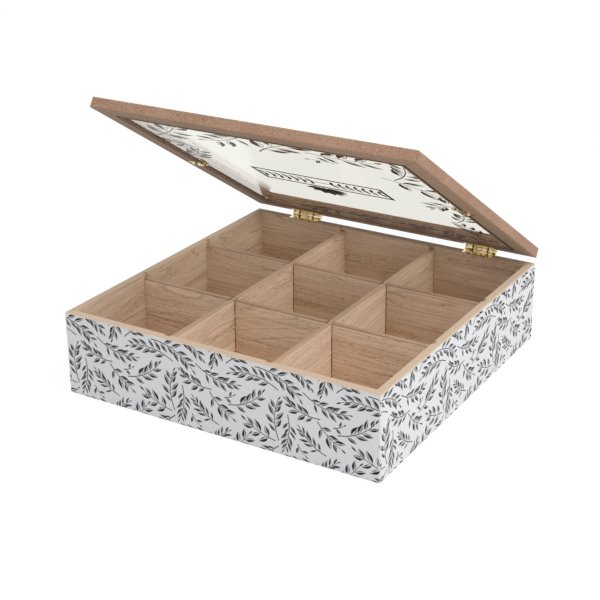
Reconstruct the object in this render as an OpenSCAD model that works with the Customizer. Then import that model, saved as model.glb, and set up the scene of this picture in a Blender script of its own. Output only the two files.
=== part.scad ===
// Tea bag organizer box: a square wooden tray with nine compartments and a glazed lid
// on two brass butt hinges.
// Millimetres. Origin: centre of the underside. +Z up, +X right, the hinges at the rear (+Y).
// The lid is drawn closed and then turned about the hinge axis to its rest angle.

/* [Box] */
// Outside width and depth of the square box
box_w = 240; // [200:1:320]
// Height of the walls
box_h = 60.3; // [45:0.1:90]
// Thickness of a wall, with its paper
wall_t = 6; // [5:0.5:9]
// Radius of the upright outside corners
corner_r = 1; // [0.8:0.1:5]
// Thickness of the printed paper glued round the walls
wrap_t = 0.3; // [0.2:0.05:0.5]
// Bare wood left above and below the paper
wrap_margin = 0.5; // [0.3:0.1:2]
// Rounding of the bottom edges
foot_r = 1.6; // [0.8:0.1:2.5]
// Thickness of the bottom panel
base_t = 3; // [2:0.5:5]
// How far the bottom panel is let into the walls
base_rebate = 3; // [2:0.5:4]
// Sanded-off width of the wood's sharp edges
ease = 0.5; // [0.2:0.1:1]

/* [Dividers] */
// Thickness of a divider
divider_t = 4; // [3:0.5:6]
// Drop from the top of the walls to the top of the dividers
divider_drop = 3.3; // [2:0.1:15]
// Depth of the housings that hold the dividers' ends
housing_depth = 2; // [1:0.5:3]
// Clearance of a divider or panel in its joint, on each side
joint_gap = 0.2; // [0.05:0.05:0.4]

/* [Lid] */
// Thickness of the lid frame
lid_t = 7.6; // [7:0.1:12]
// Width of the frame's underside, from the outside to the glass
frame_w = 16; // [13:1:30]
// Width of the lip that the glass lies on
lip_w = 3; // [2:0.5:6]
// Thickness of the glass
glass_t = 2; // [1.5:0.5:3]
// Depth of the glass below the frame's underside
glass_recess = 1; // [0.9:0.1:2]
// Gap round the edge of the glass
glass_gap = 0.5; // [0.2:0.1:1]
// Rounding of the frame's outer edges
frame_r = 0.9; // [0.3:0.1:1.5]
// Gap between walls and lid when the lid lies level
lid_gap = 2.3; // [1.8:0.1:4]
// Angle of the lid from level in the rest pose
lid_open = 32.5; // [0:0.5:100]

/* [Hinges] */
// Length of a hinge
hinge_l = 24.5; // [22:0.5:40]
// Distance from the side of the box to the middle of a hinge
hinge_inset = 44.5; // [30:0.5:55]
// Outside radius of the rolled barrel
knuckle_r = 2.2; // [2:0.1:3]
// Length of the lid leaf's middle knuckle
mid_knuckle_l = 12; // [8:0.5:14]
// End clearance between two knuckles
knuckle_gap = 0.15; // [0.1:0.05:0.4]
// Thickness of a leaf
leaf_t = 1; // [0.8:0.1:1.3]
// Distance of the hinge axis behind the rear wall
axis_back = 2.6; // [2.6:0.1:5]
// Gap between a barrel and what it passes
barrel_gap = 0.3; // [0.3:0.05:0.4]
// Radius of the pin
pin_r = 1; // [0.7:0.1:1.2]
// Radial clearance of the pin in the turning knuckle
pin_fit = 0.05; // [0.02:0.01:0.1]
// Radial clearance of the pin in the knuckles that hold it
pin_seat = 0.02; // [0.01:0.01:0.05]
// Gap round a leaf in its recess
recess_gap = 0.4; // [0.2:0.1:1]

/* [Screws] */
// Radius of a screw's shank
screw_r = 0.9; // [0.7:0.1:1]
// Radius of a countersunk head
head_r = 1.7; // [1.4:0.1:1.9]
// Length of a hinge screw
screw_l = 6; // [4:0.5:6]
// Distance between the two screws of a leaf
screw_spread = 12.5; // [10:0.5:16]
// Width of the cross in a screw head
cross_w = 0.4; // [0.3:0.1:0.6]
// Radial clearance of a screw in its hole
screw_fit = 0.05; // [0.02:0.01:0.2]

/* [Glass clips] */
// Width of a clip along the frame
clip_w = 9; // [7:0.5:14]
// Length of a clip's foot on the frame
clip_foot = 9; // [8:0.5:9.5]
// Reach of a clip's toe over the glass
clip_toe = 3.5; // [3:0.5:8]
// Thickness of the clip's brass
clip_t = 0.8; // [0.6:0.1:0.9]
// Radius of the clip screw's domed head
dome_r = 2; // [1.8:0.1:2.4]
// Height of the clip screw's domed head
dome_h = 1.1; // [0.8:0.1:1.4]
// Length of a clip screw in the wood
clip_screw_l = 4.5; // [3:0.5:5]

/* [Hidden] */
$fn = 48;

CELLS = 3;            // compartments along each side
REAR = 0;             // turn of each side about Z, from the rear
LEFT = 90;
FRONT = 180;
RIGHT = 270;

half = box_w / 2;
inner = half - wall_t;                                // inside face of a wall
wood = half - wrap_t;                                 // outside face of the wood
cell_w = (2 * inner - (CELLS - 1) * divider_t) / CELLS;
divider_x = (cell_w + divider_t) / 2;                 // middle of a divider from the centre
divider_h = box_h - divider_drop - base_t;
slot_w = divider_t + 2 * joint_gap;

axis_y = half + axis_back;
axis_z = box_h + lid_gap / 2;
leaf_w = axis_back + wall_t;                          // from the axis to the wall's inside
screw_y = half - wall_t / 2;                          // hinge screws stand mid-wall
hinge_x = half - hinge_inset;
side_knuckle_l = (hinge_l - mid_knuckle_l) / 2 - knuckle_gap;
recess_floor = axis_z - knuckle_r;                    // bottom of the recess in the wall
recess_roof = axis_z + knuckle_r;                     // top of the recess in the lid

lid_z = box_h + lid_gap;                              // underside of the lid, closed
lid_top = lid_z + lid_t;
glass_edge = half - frame_w;                          // where the frame's underside ends
lip = glass_edge - lip_w;
glass_z = lid_z + glass_recess;
clip_step = 0.4;                                      // clip's riser from the frame
clip_screw_x = glass_edge + clip_foot / 2 + clip_step;
pin_head_r = pin_r + 0.6;
pin_head_t = 0.5;
eps = 0.01;

// ---- Outlines -------------------------------------------------------------------------

// Points of an arc about (cx, cy), from angle a to angle b.
function arc(cx, cy, r, a, b, steps = 5) =
    [for (i = [0 : steps]) let (t = a + (b - a) * i / steps) [cx + r * cos(t), cy + r * sin(t)]];

// Square of side w with round corners, made of true arcs.
module round_square(w, r) {
    square([w - 2 * r, w], center = true);
    square([w, w - 2 * r], center = true);
    for (x = [-1, 1], y = [-1, 1])
        translate([x * (w / 2 - r), y * (w / 2 - r)]) circle(r);
}

// Section of a wall, across it: eased top edges, and a rebate for the bottom panel.
module wall_section()
    polygon([[wood, 0], [wood, box_h - ease], [wood - ease, box_h], [inner + ease, box_h],
        [inner, box_h - ease], [inner, base_t], [inner + base_rebate, base_t],
        [inner + base_rebate, 0]]);

// Upright outline of the box, of width w: straight sides on rounded bottom edges.
module footed_outline(w)
    polygon(concat([[w / 2, box_h], [-w / 2, box_h]],
        arc(foot_r - w / 2, foot_r, foot_r, 180, 270),
        arc(w / 2 - foot_r, foot_r, foot_r, 270, 360)));

// Section of the lid frame, across it: rounded outside, rebated inside for the glass.
module frame_section()
    polygon(concat(
        arc(half - frame_r, lid_z + frame_r, frame_r, -90, 0),
        arc(half - frame_r, lid_top - frame_r, frame_r, 0, 90),
        [[lip + ease, lid_top], [lip, lid_top - ease], [lip, glass_z + glass_t],
         [glass_edge, glass_z + glass_t], [glass_edge, lid_z]]));

// Section of a divider, across it: its two top edges are eased.
module divider_section()
    polygon([[-divider_t / 2, 0], [divider_t / 2, 0], [divider_t / 2, divider_h - ease],
        [divider_t / 2 - ease, divider_h], [ease - divider_t / 2, divider_h],
        [-divider_t / 2, divider_h - ease]]);

// Solid block of width w: the outline seen from the front, from the side and from above.
module footed_block(w, r)
    intersection() {
        rotate([90, 0, 0]) linear_extrude(w, center = true) footed_outline(w);
        rotate([90, 0, 90]) linear_extrude(w, center = true) footed_outline(w);
        linear_extrude(box_h) round_square(w, r);
    }

// ---- Placing --------------------------------------------------------------------------

// Runs a section (distance from the centre, height) along one side, mitred at both ends.
module mitred_side(turn) {
    rotate([0, 0, turn])
        intersection() {
            rotate([90, 0, 90]) linear_extrude(box_w, center = true) children();
            linear_extrude(2 * lid_top) polygon([[0, 0], [half, half], [-half, half]]);
        }
}

// Turns a piece of the closed lid about the hinge axis to the rest angle.
module lid_pose() {
    translate([0, axis_y, axis_z]) rotate([-lid_open, 0, 0])
        translate([0, -axis_y, -axis_z]) children();
}

// Draws its child at the left hinge (side -1) or the right hinge (side 1).
module at_hinge(side) translate([side * hinge_x, 0, 0]) children();

module at_each_screw() for (x = [-1, 1])
    translate([x * screw_spread / 2, screw_y, 0]) children();

// ---- Wooden box -----------------------------------------------------------------------

// Recesses cut through the top of the rear wall for the two hinge leaves.
module wall_recesses() {
    for (side = [-1, 1]) at_hinge(side)
        translate([-hinge_l / 2 - recess_gap, inner - eps, recess_floor])
            cube([hinge_l + 2 * recess_gap, wall_t + 2 * eps, box_h]);
}

// Housings in the wall at the rear, from the bottom panel up through the top edge.
module divider_housings() {
    for (x = [-1, 1])
        translate([x * divider_x - slot_w / 2, inner - eps, base_t - eps])
            cube([slot_w, housing_depth + eps, box_h]);
}

module wall(turn) color("burlywood")
    intersection() {
        difference() {
            mitred_side(turn) wall_section();
            rotate([0, 0, turn]) divider_housings();
            if (turn == REAR) {
                wall_recesses();
                for (side = [-1, 1]) at_hinge(side) at_each_screw()
                    translate([0, 0, recess_floor - screw_l])
                        cylinder(r = screw_r + screw_fit, h = screw_l + eps);
            }
        }
        footed_block(2 * wood, corner_r - wrap_t);
    }

module bottom_panel() color("tan") {
    side = 2 * (inner + base_rebate - joint_gap);
    translate([-side / 2, -side / 2, 0]) cube([side, side, base_t]);
}

module printed_wrap() color("whitesmoke")
    difference() {
        intersection() {
            footed_block(box_w, corner_r);
            translate([0, 0, wrap_margin]) linear_extrude(box_h - 2 * wrap_margin)
                square(box_w, center = true);
        }
        footed_block(2 * wood, corner_r - wrap_t);
        wall_recesses();
    }

// A divider along Y through x. The two crossing slots come up from below in a long
// divider, and down from the top in a cross divider, so that the two halves lock.
module divider(x, slots_below) {
    length = 2 * (inner + housing_depth - joint_gap);
    slot_h = divider_h / 2 + joint_gap;
    slot_z = slots_below ? -eps : divider_h - slot_h;
    translate([x, 0, base_t])
        difference() {
            rotate([90, 0, 0]) linear_extrude(length, center = true) divider_section();
            for (y = [-1, 1])
                translate([-divider_t, y * divider_x - slot_w / 2, slot_z])
                    cube([2 * divider_t, slot_w, slot_h + eps]);
        }
}

module long_divider(side) color("burlywood") divider(side * divider_x, true);
module cross_divider(side) color("tan")
    rotate([0, 0, 90]) divider(side * divider_x, false);

// ---- Lid ------------------------------------------------------------------------------

// Recesses in the underside of the rear rail for the two hinge leaves.
module lid_recesses() {
    for (side = [-1, 1]) at_hinge(side)
        translate([-hinge_l / 2 - recess_gap, axis_y - leaf_w - recess_gap, lid_z - 1])
            cube([hinge_l + 2 * recess_gap, leaf_w, recess_roof - lid_z + 1]);
}

module lid_side(turn) color("rosybrown")
    lid_pose()
        intersection() {
            difference() {
                mitred_side(turn) frame_section();
                if (turn == REAR) {
                    lid_recesses();
                    for (side = [-1, 1]) at_hinge(side) at_each_screw()
                        translate([0, 0, recess_roof - eps])
                            cylinder(r = screw_r + screw_fit, h = screw_l - leaf_t + 0.5);
                }
                if (turn == LEFT || turn == RIGHT)
                    clip_holes();
            }
            translate([0, 0, lid_z]) linear_extrude(lid_t) round_square(box_w, frame_r);
        }

module glass_pane() color("lightcyan", 0.5)
    lid_pose() {
        side = 2 * (glass_edge - glass_gap);
        translate([-side / 2, -side / 2, glass_z]) cube([side, side, glass_t]);
    }

// Pilot holes for the clip screws, half way along the stiles.
module clip_holes() {
    for (side = [-1, 1]) translate([side * clip_screw_x, 0, lid_z - eps])
        cylinder(r = screw_r + screw_fit, h = clip_screw_l + 0.5);
}

// Brass clip of offset section: the foot lies on the stile, the toe on the glass.
module glass_clip(side) color("gold")
    lid_pose() mirror([side < 0 ? 1 : 0, 0, 0])
        difference() {
            rotate([90, 0, 0]) linear_extrude(clip_w, center = true)
                translate([glass_edge, lid_z])
                    polygon([[clip_foot, -clip_t], [clip_foot, 0], [-clip_step, 0],
                        [-clip_step, glass_recess], [-clip_toe, glass_recess],
                        [-clip_toe, glass_recess - clip_t],
                        [-clip_step - clip_t, glass_recess - clip_t],
                        [-clip_step - clip_t, -clip_t]]);
            translate([clip_screw_x, 0, lid_z - 2 * clip_t])
                cylinder(r = screw_r + screw_fit, h = 3 * clip_t);
        }

// Screw with a domed head, hanging point up below z = 0.
module domed_screw() {
    sphere_r = (dome_r * dome_r + dome_h * dome_h) / (2 * dome_h);
    difference() {
        intersection() {
            translate([0, 0, sphere_r - dome_h]) sphere(sphere_r);
            translate([0, 0, -dome_h]) cylinder(r = dome_r, h = dome_h);
        }
        screw_cross(-dome_h, dome_r);
    }
    cylinder(r = screw_r, h = clip_t + clip_screw_l - screw_r);
    translate([0, 0, clip_t + clip_screw_l - screw_r])
        cylinder(r1 = screw_r, r2 = 0.1, h = screw_r);
}

// Cross recess that opens downwards at height z, across a head of radius r.
module screw_cross(z, r) {
    for (a = [0, 90]) rotate([0, 0, a])
        translate([-cross_w / 2, -0.62 * r, z - eps]) cube([cross_w, 1.24 * r, 0.55]);
}

module clip_screws() color("goldenrod")
    lid_pose() for (side = [-1, 1])
        translate([side * clip_screw_x, 0, lid_z - clip_t]) domed_screw();

// ---- Hinges ---------------------------------------------------------------------------

// A barrel section about the hinge axis, from x to x + l.
module barrel(x, l, r) translate([x, axis_y, axis_z]) rotate([0, 90, 0]) cylinder(r = r, h = l);

// Leaf with its knuckles below the axis. Screws enter from the axis side.
module leaf(middle) {
    reach = knuckle_r + barrel_gap;
    side_x = hinge_l / 2 - side_knuckle_l;
    bore_r = pin_r + (middle ? pin_fit : pin_seat);
    difference() {
        union() {
            translate([-hinge_l / 2, axis_y - leaf_w, axis_z - knuckle_r])
                cube([hinge_l, leaf_w, leaf_t]);
            if (middle) barrel(-mid_knuckle_l / 2, mid_knuckle_l, knuckle_r);
            else for (x = [-hinge_l / 2, side_x]) barrel(x, side_knuckle_l, knuckle_r);
        }
        barrel(-hinge_l, 2 * hinge_l, bore_r);
        if (middle) for (s = [-1, 1])
            translate([s > 0 ? mid_knuckle_l / 2 : -hinge_l, axis_y - reach, axis_z - hinge_l])
                cube([hinge_l - mid_knuckle_l / 2, hinge_l, 2 * hinge_l]);
        else translate([-side_x, axis_y - reach, axis_z - hinge_l])
            cube([2 * side_x, hinge_l, 2 * hinge_l]);
        at_each_screw() translate([0, 0, axis_z - knuckle_r]) {
            translate([0, 0, -eps]) cylinder(r = screw_r + screw_fit, h = leaf_t);
            translate([0, 0, leaf_t - (head_r - screw_r)])
                cylinder(r1 = screw_r, r2 = head_r, h = head_r - screw_r);
        }
    }
}

// Turns what is drawn below the axis over to the lid's side of it.
module above_axis()
    translate([0, 0, 2 * axis_z]) mirror([0, 0, 1]) children();

module box_leaf(side) color("gold") at_hinge(side) leaf(false);
module lid_leaf(side) color("gold") lid_pose() at_hinge(side) above_axis() leaf(true);

// Half of a riveted pin, from its middle to the head that closes one end of the barrel.
module half_pin()
    rotate_extrude() {
        square([pin_r, hinge_l / 2]);
        translate([0, hinge_l / 2]) polygon([[0, 0], [pin_head_r, 0],
            [pin_head_r, pin_head_t / 3], [pin_head_r / 2, pin_head_t], [0, pin_head_t]]);
    }

module hinge_pin(side) color("goldenrod")
    at_hinge(side) translate([0, axis_y, axis_z])
        for (turn = [-90, 90]) rotate([0, turn, 0]) half_pin();

// Countersunk screw pointing down, its head flush with the leaf's upper face.
module leaf_screw() {
    head_h = head_r - screw_r;
    translate([0, 0, axis_z - knuckle_r + leaf_t]) difference() {
        union() {
            translate([0, 0, -head_h]) cylinder(r1 = screw_r, r2 = head_r, h = head_h);
            translate([0, 0, screw_r - screw_l]) cylinder(r = screw_r, h = screw_l - head_h);
            translate([0, 0, -screw_l]) cylinder(r1 = 0.1, r2 = screw_r, h = screw_r);
        }
        mirror([0, 0, 1]) screw_cross(0, head_r);
    }
}

module box_leaf_screws() color("goldenrod")
    for (side = [-1, 1]) at_hinge(side) at_each_screw() leaf_screw();
module lid_leaf_screws() color("goldenrod")
    lid_pose() above_axis() for (side = [-1, 1]) at_hinge(side) at_each_screw() leaf_screw();

// ---- Nodes ----------------------------------------------------------------------------

wall(FRONT);  // front_wall
wall(REAR);  // rear_wall
wall(LEFT);  // left_wall
wall(RIGHT);  // right_wall
bottom_panel();
printed_wrap();
long_divider(-1);  // long_divider_left
long_divider(1);  // long_divider_right
cross_divider(-1);  // cross_divider_front
cross_divider(1);  // cross_divider_rear
lid_side(FRONT);  // lid_front_rail
lid_side(REAR);  // lid_rear_rail
lid_side(LEFT);  // lid_left_stile
lid_side(RIGHT);  // lid_right_stile
glass_pane();
glass_clip(-1);  // glass_clip_left
glass_clip(1);  // glass_clip_right
clip_screws();
box_leaf(-1);  // box_leaf_left
box_leaf(1);  // box_leaf_right
lid_leaf(-1);  // lid_leaf_left
lid_leaf(1);  // lid_leaf_right
hinge_pin(-1);  // hinge_pin_left
hinge_pin(1);  // hinge_pin_right
box_leaf_screws();
lid_leaf_screws();
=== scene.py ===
import math

import bpy
import numpy as np
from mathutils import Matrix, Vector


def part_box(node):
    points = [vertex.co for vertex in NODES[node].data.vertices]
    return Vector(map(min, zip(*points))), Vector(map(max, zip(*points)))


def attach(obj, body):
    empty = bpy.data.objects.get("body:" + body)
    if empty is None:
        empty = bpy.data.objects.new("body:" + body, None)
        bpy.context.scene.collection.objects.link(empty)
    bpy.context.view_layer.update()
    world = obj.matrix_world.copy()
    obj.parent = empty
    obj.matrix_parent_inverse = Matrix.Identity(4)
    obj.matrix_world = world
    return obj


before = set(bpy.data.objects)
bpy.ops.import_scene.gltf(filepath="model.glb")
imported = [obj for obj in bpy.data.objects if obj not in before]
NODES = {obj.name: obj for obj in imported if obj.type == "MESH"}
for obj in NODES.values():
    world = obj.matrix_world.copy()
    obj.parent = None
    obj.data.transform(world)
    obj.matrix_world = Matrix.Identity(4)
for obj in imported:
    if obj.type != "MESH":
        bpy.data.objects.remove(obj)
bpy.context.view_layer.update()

bl_info = {
    "name": "Tea bag organizer box",
    "version": (1, 0, 0),
    "blender": (4, 5, 0),
    "location": "View3D > Sidebar > Tea box",
    "description": "Dresses a wooden tea bag box: boards, leaf-printed paper, glazed lid and brass hinges",
    "category": "Object",
}

MM = 0.001
SIDES = 4                 # upright sides of the box
REAR_SIDE = 2             # the rear one, counted from the front
TILES_ROUND = 12          # repeats of the leaf print round the box


def srgb(red, green, blue):
    """A screen colour, 0 to 255, as the linear colour that the shaders take."""
    share = np.array([red, green, blue]) / 255
    return tuple(np.where(share <= 0.04045, share / 12.92, ((share + 0.055) / 1.055) ** 2.4).tolist())


# ---- Sizes and colours a user would change ----------------------------------------------------


def colour_setting(name, description, *screen):
    """A colour for the panel, given as it looks on a screen."""
    return bpy.props.FloatVectorProperty(name=name, description=description, subtype="COLOR", size=3,
                                         min=0, max=1, default=srgb(*screen))


def length_setting(name, description, size):
    """A length for the panel, given in millimetres."""
    return bpy.props.FloatProperty(name=name, description=description, default=size * MM, unit="LENGTH",
                                   min=0, precision=5)


def share_setting(name, description, value):
    """A share from 0 to 1 for the panel."""
    return bpy.props.FloatProperty(name=name, description=description, default=value, min=0, max=1,
                                   subtype="FACTOR")


class BoardSettings(bpy.types.PropertyGroup):
    """The bare wooden boards."""
    light: colour_setting("Light wood", "Colour of the pale wood between the pores", 250, 228, 205)
    dark: colour_setting("Dark wood", "Colour of the late growth", 206, 175, 146)
    pore: colour_setting("Pores", "Colour of the pores and of dirt in the joints", 118, 88, 66)
    edge: colour_setting("Sanded edge", "Colour of the walls' sanded top edges", 202, 181, 159)
    rim: colour_setting("Sawn edge", "Colour of the dividers' top edges", 192, 160, 134)
    strip: length_setting("Strip height", "Height of the glued joint between a wall's two strips", 34)


class PrintSettings(bpy.types.PropertyGroup):
    """The paper and its leaf print."""
    paper: colour_setting("Paper", "Colour of the paper", 228, 228, 230)
    ink: colour_setting("Ink", "Colour of the darkest strokes", 12, 12, 13)
    wash: colour_setting("Wash", "Colour of the thin grey wash in the leaves", 180, 182, 185)
    line: length_setting("Line width", "Width of a leaf's outline", 0.37)
    lift: length_setting("Ink height", "How far the ink stands on the paper", 0.03)


class LidSettings(bpy.types.PropertyGroup):
    """The fibreboard frame."""
    board: colour_setting("Fibreboard", "Colour of the frame", 181, 146, 122)
    fleck: colour_setting("Flecks", "Colour of the frame's darker fibres", 128, 90, 68)


class GlassSettings(bpy.types.PropertyGroup):
    """The glass in the lid."""
    tint: colour_setting("Glass", "What the glass lets through", 248, 248, 244)
    ornament: length_setting("Ornament width", "Width of the ruled panel in the middle of the glass", 101)


class BrassSettings(bpy.types.PropertyGroup):
    """The hinges, clips and screws."""
    bright: colour_setting("Brass", "Colour of the polished sheet", 255, 239, 196)
    # the dull colour is tarnish, and also painted dark reflection in the dull patches
    dull: colour_setting("Tarnish", "Colour of the brass where it has dulled", 96, 70, 36)
    roughness: share_setting("Roughness", "How soft the brass mirrors", 0.11)
    knuckle: length_setting("Middle knuckle", "Length of the lid's knuckle between the box's two", 12.1)


class StageSettings(bpy.types.PropertyGroup):
    """Light and floor."""
    lamp: bpy.props.FloatProperty(name="Lamp", description="Power of the soft lamp on the right",
                                  default=17.3, min=0, subtype="POWER")
    sky: share_setting("Surrounding light", "Strength of the light from all round", 0.71)
    floor: share_setting("Floor", "How much light the floor gives back", 0.7)


# ---- Shader maths -----------------------------------------------------------------------------


class Value:
    """A socket that can be reckoned with: each operator puts one Math node after it."""

    def __init__(self, finish, node, socket):
        self.finish = finish
        self.node = node
        self.socket = socket

    def other(self, name):
        """Another output of the same node."""
        return Value(self.finish, self.node, self.node.outputs[name])

    def maths(self, operation, *values):
        """A Math node that takes the values in order."""
        return self.finish.node("ShaderNodeMath", {"operation": operation}, dict(enumerate(values)))

    def __add__(self, other):
        return self.maths("ADD", self, other)

    def __radd__(self, other):
        return self.maths("ADD", other, self)

    def __sub__(self, other):
        return self.maths("SUBTRACT", self, other)

    def __rsub__(self, other):
        return self.maths("SUBTRACT", other, self)

    def __mul__(self, other):
        return self.maths("MULTIPLY", self, other)

    def __rmul__(self, other):
        return self.maths("MULTIPLY", other, self)

    def __pow__(self, other):
        return self.maths("POWER", self, other)

    def __abs__(self):
        return self.maths("ABSOLUTE", self)

    def sine(self):
        """The sine of an angle in radians."""
        return self.maths("SINE", self)

    def most(self, other):
        """The larger of the two."""
        return self.maths("MAXIMUM", self, other)

    def rise(self, low, high):
        """0 below low, 1 above high, and a smooth step between; falls where low is above high."""
        step = self.finish.node("ShaderNodeMapRange", {"interpolation_type": "SMOOTHSTEP"},
                                {"Value": self, "From Min": min(low, high), "From Max": max(low, high)})
        return 1 - step if low > high else step

    def near(self, place, outer, inner):
        """1 within inner of the place, 0 beyond outer, and a smooth step between."""
        return abs(self - place).rise(outer, inner)


class Finish:
    """A material, or the surrounding light, under construction."""

    MIX_SHARE, MIX_FROM, MIX_TO, MIX_RESULT = 0, 6, 7, 2      # a Mix node's sockets for colours

    def __init__(self, name, surround=False):
        self.owner = (bpy.data.worlds if surround else bpy.data.materials).new(name)
        self.end = "ShaderNodeOutputWorld" if surround else "ShaderNodeOutputMaterial"
        self.owner.use_nodes = True
        self.tree = self.owner.node_tree
        self.tree.nodes.clear()

    def node(self, kind, settings=None, sockets=None, out=0):
        """Adds a node: its settings are set first, then each socket gets its value or its link."""
        node = self.tree.nodes.new(kind)
        for key, value in (settings or {}).items():
            setattr(node, key, value)
        for key, value in (sockets or {}).items():
            if isinstance(value, Value):
                self.tree.links.new(value.socket, node.inputs[key])
            else:
                plain = node.inputs[key]
                wants_alpha = plain.type == "RGBA" and len(value) == 3
                plain.default_value = (*value, 1) if wants_alpha else value
        return Value(self, node, node.outputs[out] if len(node.outputs) else None)

    def point(self, scale=(1, 1, 1), shift=(0, 0, 0), turn=(0, 0, 0)):
        """The place on the object, in metres, turned, then scaled and shifted."""
        place = self.node("ShaderNodeTexCoord").other("Object")
        return self.node("ShaderNodeMapping", {}, {"Vector": place, "Scale": scale, "Location": shift,
                                                   "Rotation": turn})

    def parts(self, vector):
        """A vector's x, y and z."""
        apart = self.node("ShaderNodeSeparateXYZ", {}, {0: vector})
        return apart, apart.other("Y"), apart.other("Z")

    def noise(self, vector, detail=2.0, roughness=0.5):
        """Cloudy noise about 0.5, one bump to a unit of the vector; detail counts its finer layers."""
        return self.node("ShaderNodeTexNoise", {}, {"Vector": vector, "Scale": 1.0, "Detail": detail,
                                                    "Roughness": roughness})

    def mix(self, share, a, b, blend="MIX"):
        """Goes from colour a to colour b as share goes from 0 to 1."""
        return self.node("ShaderNodeMix", {"data_type": "RGBA", "blend_type": blend, "clamp_factor": True},
                         {self.MIX_SHARE: share, self.MIX_FROM: a, self.MIX_TO: b}, out=self.MIX_RESULT)

    def bump(self, height, strength, distance):
        """The normal of a relief: height 1 stands for distance, in millimetres."""
        return self.node("ShaderNodeBump", {}, {"Height": height, "Strength": strength,
                                                "Distance": distance * MM})

    def watched(self):
        """1 where the camera looks, straight or by way of metal and glass."""
        path = self.node("ShaderNodeLightPath")
        by_mirror = path.other("Is Glossy Ray").most(path.other("Is Transmission Ray"))
        return path.other("Is Camera Ray").most(by_mirror)

    def close(self, shader):
        """Puts the shader on the surface and gives the finished material."""
        self.node(self.end, {}, {"Surface": shader})
        return self.owner

    def principled(self, **sockets):
        """Ends the material in a Principled surface; names_like_this stand for its sockets' names."""
        named = {key.replace("_", " "): value for key, value in sockets.items()}
        return self.close(self.node("ShaderNodeBsdfPrincipled", {}, named))


# ---- Finishes ---------------------------------------------------------------------------------


SAWN_SHADE = srgb(158, 124, 98)        # darker fibres in the dividers' top edges
BOARD_PAINTED_SHADE = srgb(190, 184, 176)      # painted shade: what a board's tone multiplies it by
BRIGHT_FIBRE = srgb(222, 190, 165)
UNDERSIDE_SHADE = srgb(166, 150, 128)  # painted shade: the duller brown of the frame's underside, partly its smoother face and partly the shade it lies in
# painted shade on the lip's wall above the glass
LIP_SHADE = srgb(160, 156, 156)
FRAME_LINE_AND_SHADE = srgb(34, 26, 20)          # dark lines in the frame's mitres, and painted shade on the rebate and along the glass
PAPER_FIBRE = srgb(196, 198, 204)
WORN_PAPER = srgb(206, 184, 160)
# painted shade in the gaps between the knuckles
KNUCKLE_GAP_SHADE = srgb(40, 30, 16)
GLASS_MIRROR = (1.0, 0.96, 0.89)


def sawn_board(name, colours, along, seed, tone, strip=None, crossings=(), top=None, dark_top_line=False):
    """Light, open-pored wood with its grain along X or Y.
    Grain: noise stretched along the board. Growth lines: the sine of a slow noise, kept where it is
    near 0, so that they run as long loops. Pores: short dashes, thicker beside the growth lines.
    tone is painted shade that darkens the whole board as the light leaves it, and below 0 painted light
    that lightens it; strip is the height of a glued joint, crossings are the places along a divider where
    other boards cross, top is the height of its upper edge, and the last argument, when true, darkens a
    thin line just below the top edge and the top edge a little."""
    finish = Finish(name)
    shift = (seed * 3.71, seed * 1.37, seed * 2.11)
    x, y, z = finish.parts(finish.point())
    run = x if along == "X" else y

    def grain(lengthways, across, upright, **how):
        """Noise with so many bumps to the metre along the board, across it and up it."""
        flat = (lengthways, across) if along == "X" else (across, lengthways)
        return finish.noise(finish.point((*flat, upright), shift), **how)

    cloud = grain(10, 50, 55, detail=3)
    streak = grain(16, 700, 900, detail=5, roughness=0.68)
    hair = grain(60, 2400, 2900)
    fine = grain(250, 2300, 2500, detail=1)
    slow = grain(3.2, 26, 30, roughness=0.45)
    ring = (slow * 44).sine()
    growth = abs(ring).rise(0.30, 0.02) * 0.7 + ring.rise(0.2, 1.0) * 0.3
    dash = fine.rise(0.55, 0.64) * (growth * 0.6 + cloud.rise(0.35, 0.65) * 0.4)

    # tone adds painted shade to the grain, or painted light below 0
    shade = (cloud.rise(0.25, 0.75) * 0.24 + streak.rise(0.34, 0.68) * 0.52 + growth * 0.46
             + hair.rise(0.42, 0.66) * 0.22 - 0.12 + tone * 0.25)
    wood = finish.mix(shade, colours.light, colours.dark)
    if strip:
        level = z + (slow - 0.5) * (4 * MM)
        lower = level.rise(strip + 0.3 * MM, strip - 0.3 * MM)
        joint = level.near(strip, 0.6 * MM, 0.1 * MM) * (streak.rise(0.3, 0.55) * 0.6 + 0.4)
        wood = finish.mix(lower * 0.12, wood, colours.dark, "MULTIPLY")
        wood = finish.mix(joint * 0.5, wood, colours.pore)
    wood = finish.mix(dash * 0.85, wood, colours.pore)
    if top:
        pale, shaded = (colours.rim, SAWN_SHADE) if crossings else (colours.edge, colours.dark)
        # the top edge's colour follows the grain, and is a little darker on boards with the dark top line
        edge = finish.mix(streak * 0.6 + (0.2 if dark_top_line else 0.0), pale, shaded)
        wood = finish.mix(z.rise(top - 0.9 * MM, top - 0.3 * MM), wood, edge)
    # a thin dark line just below the top edge
    if dark_top_line:
        line = z.rise(top - 0.8 * MM, top - 0.5 * MM) * z.rise(top - 0.02 * MM, top - 0.12 * MM)
        wood = finish.mix(line * streak.rise(0.25, 0.6) * 0.6, wood, colours.pore)
    # Where other boards cross: a broken dark line, partly dirt in the joint and partly painted shade of the
    # gap
    if crossings:
        dirt_and_shade = run.near(crossings[0], 0.8 * MM, 0.2 * MM)
        for place in crossings[1:]:
            dirt_and_shade = dirt_and_shade.most(run.near(place, 0.8 * MM, 0.2 * MM))
        broken = finish.noise(finish.point((30, 30, 420), shift)).rise(0.38, 0.5)
        black = finish.mix(0.5, colours.pore, (0, 0, 0))
        wood = finish.mix(dirt_and_shade * (broken * 0.65 + 0.25), wood, black)
    # painted shade: the whole board darkened by its tone
    wood = finish.mix(max(tone, 0), wood, BOARD_PAINTED_SHADE, "MULTIPLY")
    rough = 0.58 + streak * 0.2 + dash * 0.12
    relief = finish.bump(streak * 0.6 + growth * 0.2 - dash, 0.35, 0.12)
    return finish.principled(Base_Color=wood, Roughness=rough, Normal=relief)


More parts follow.
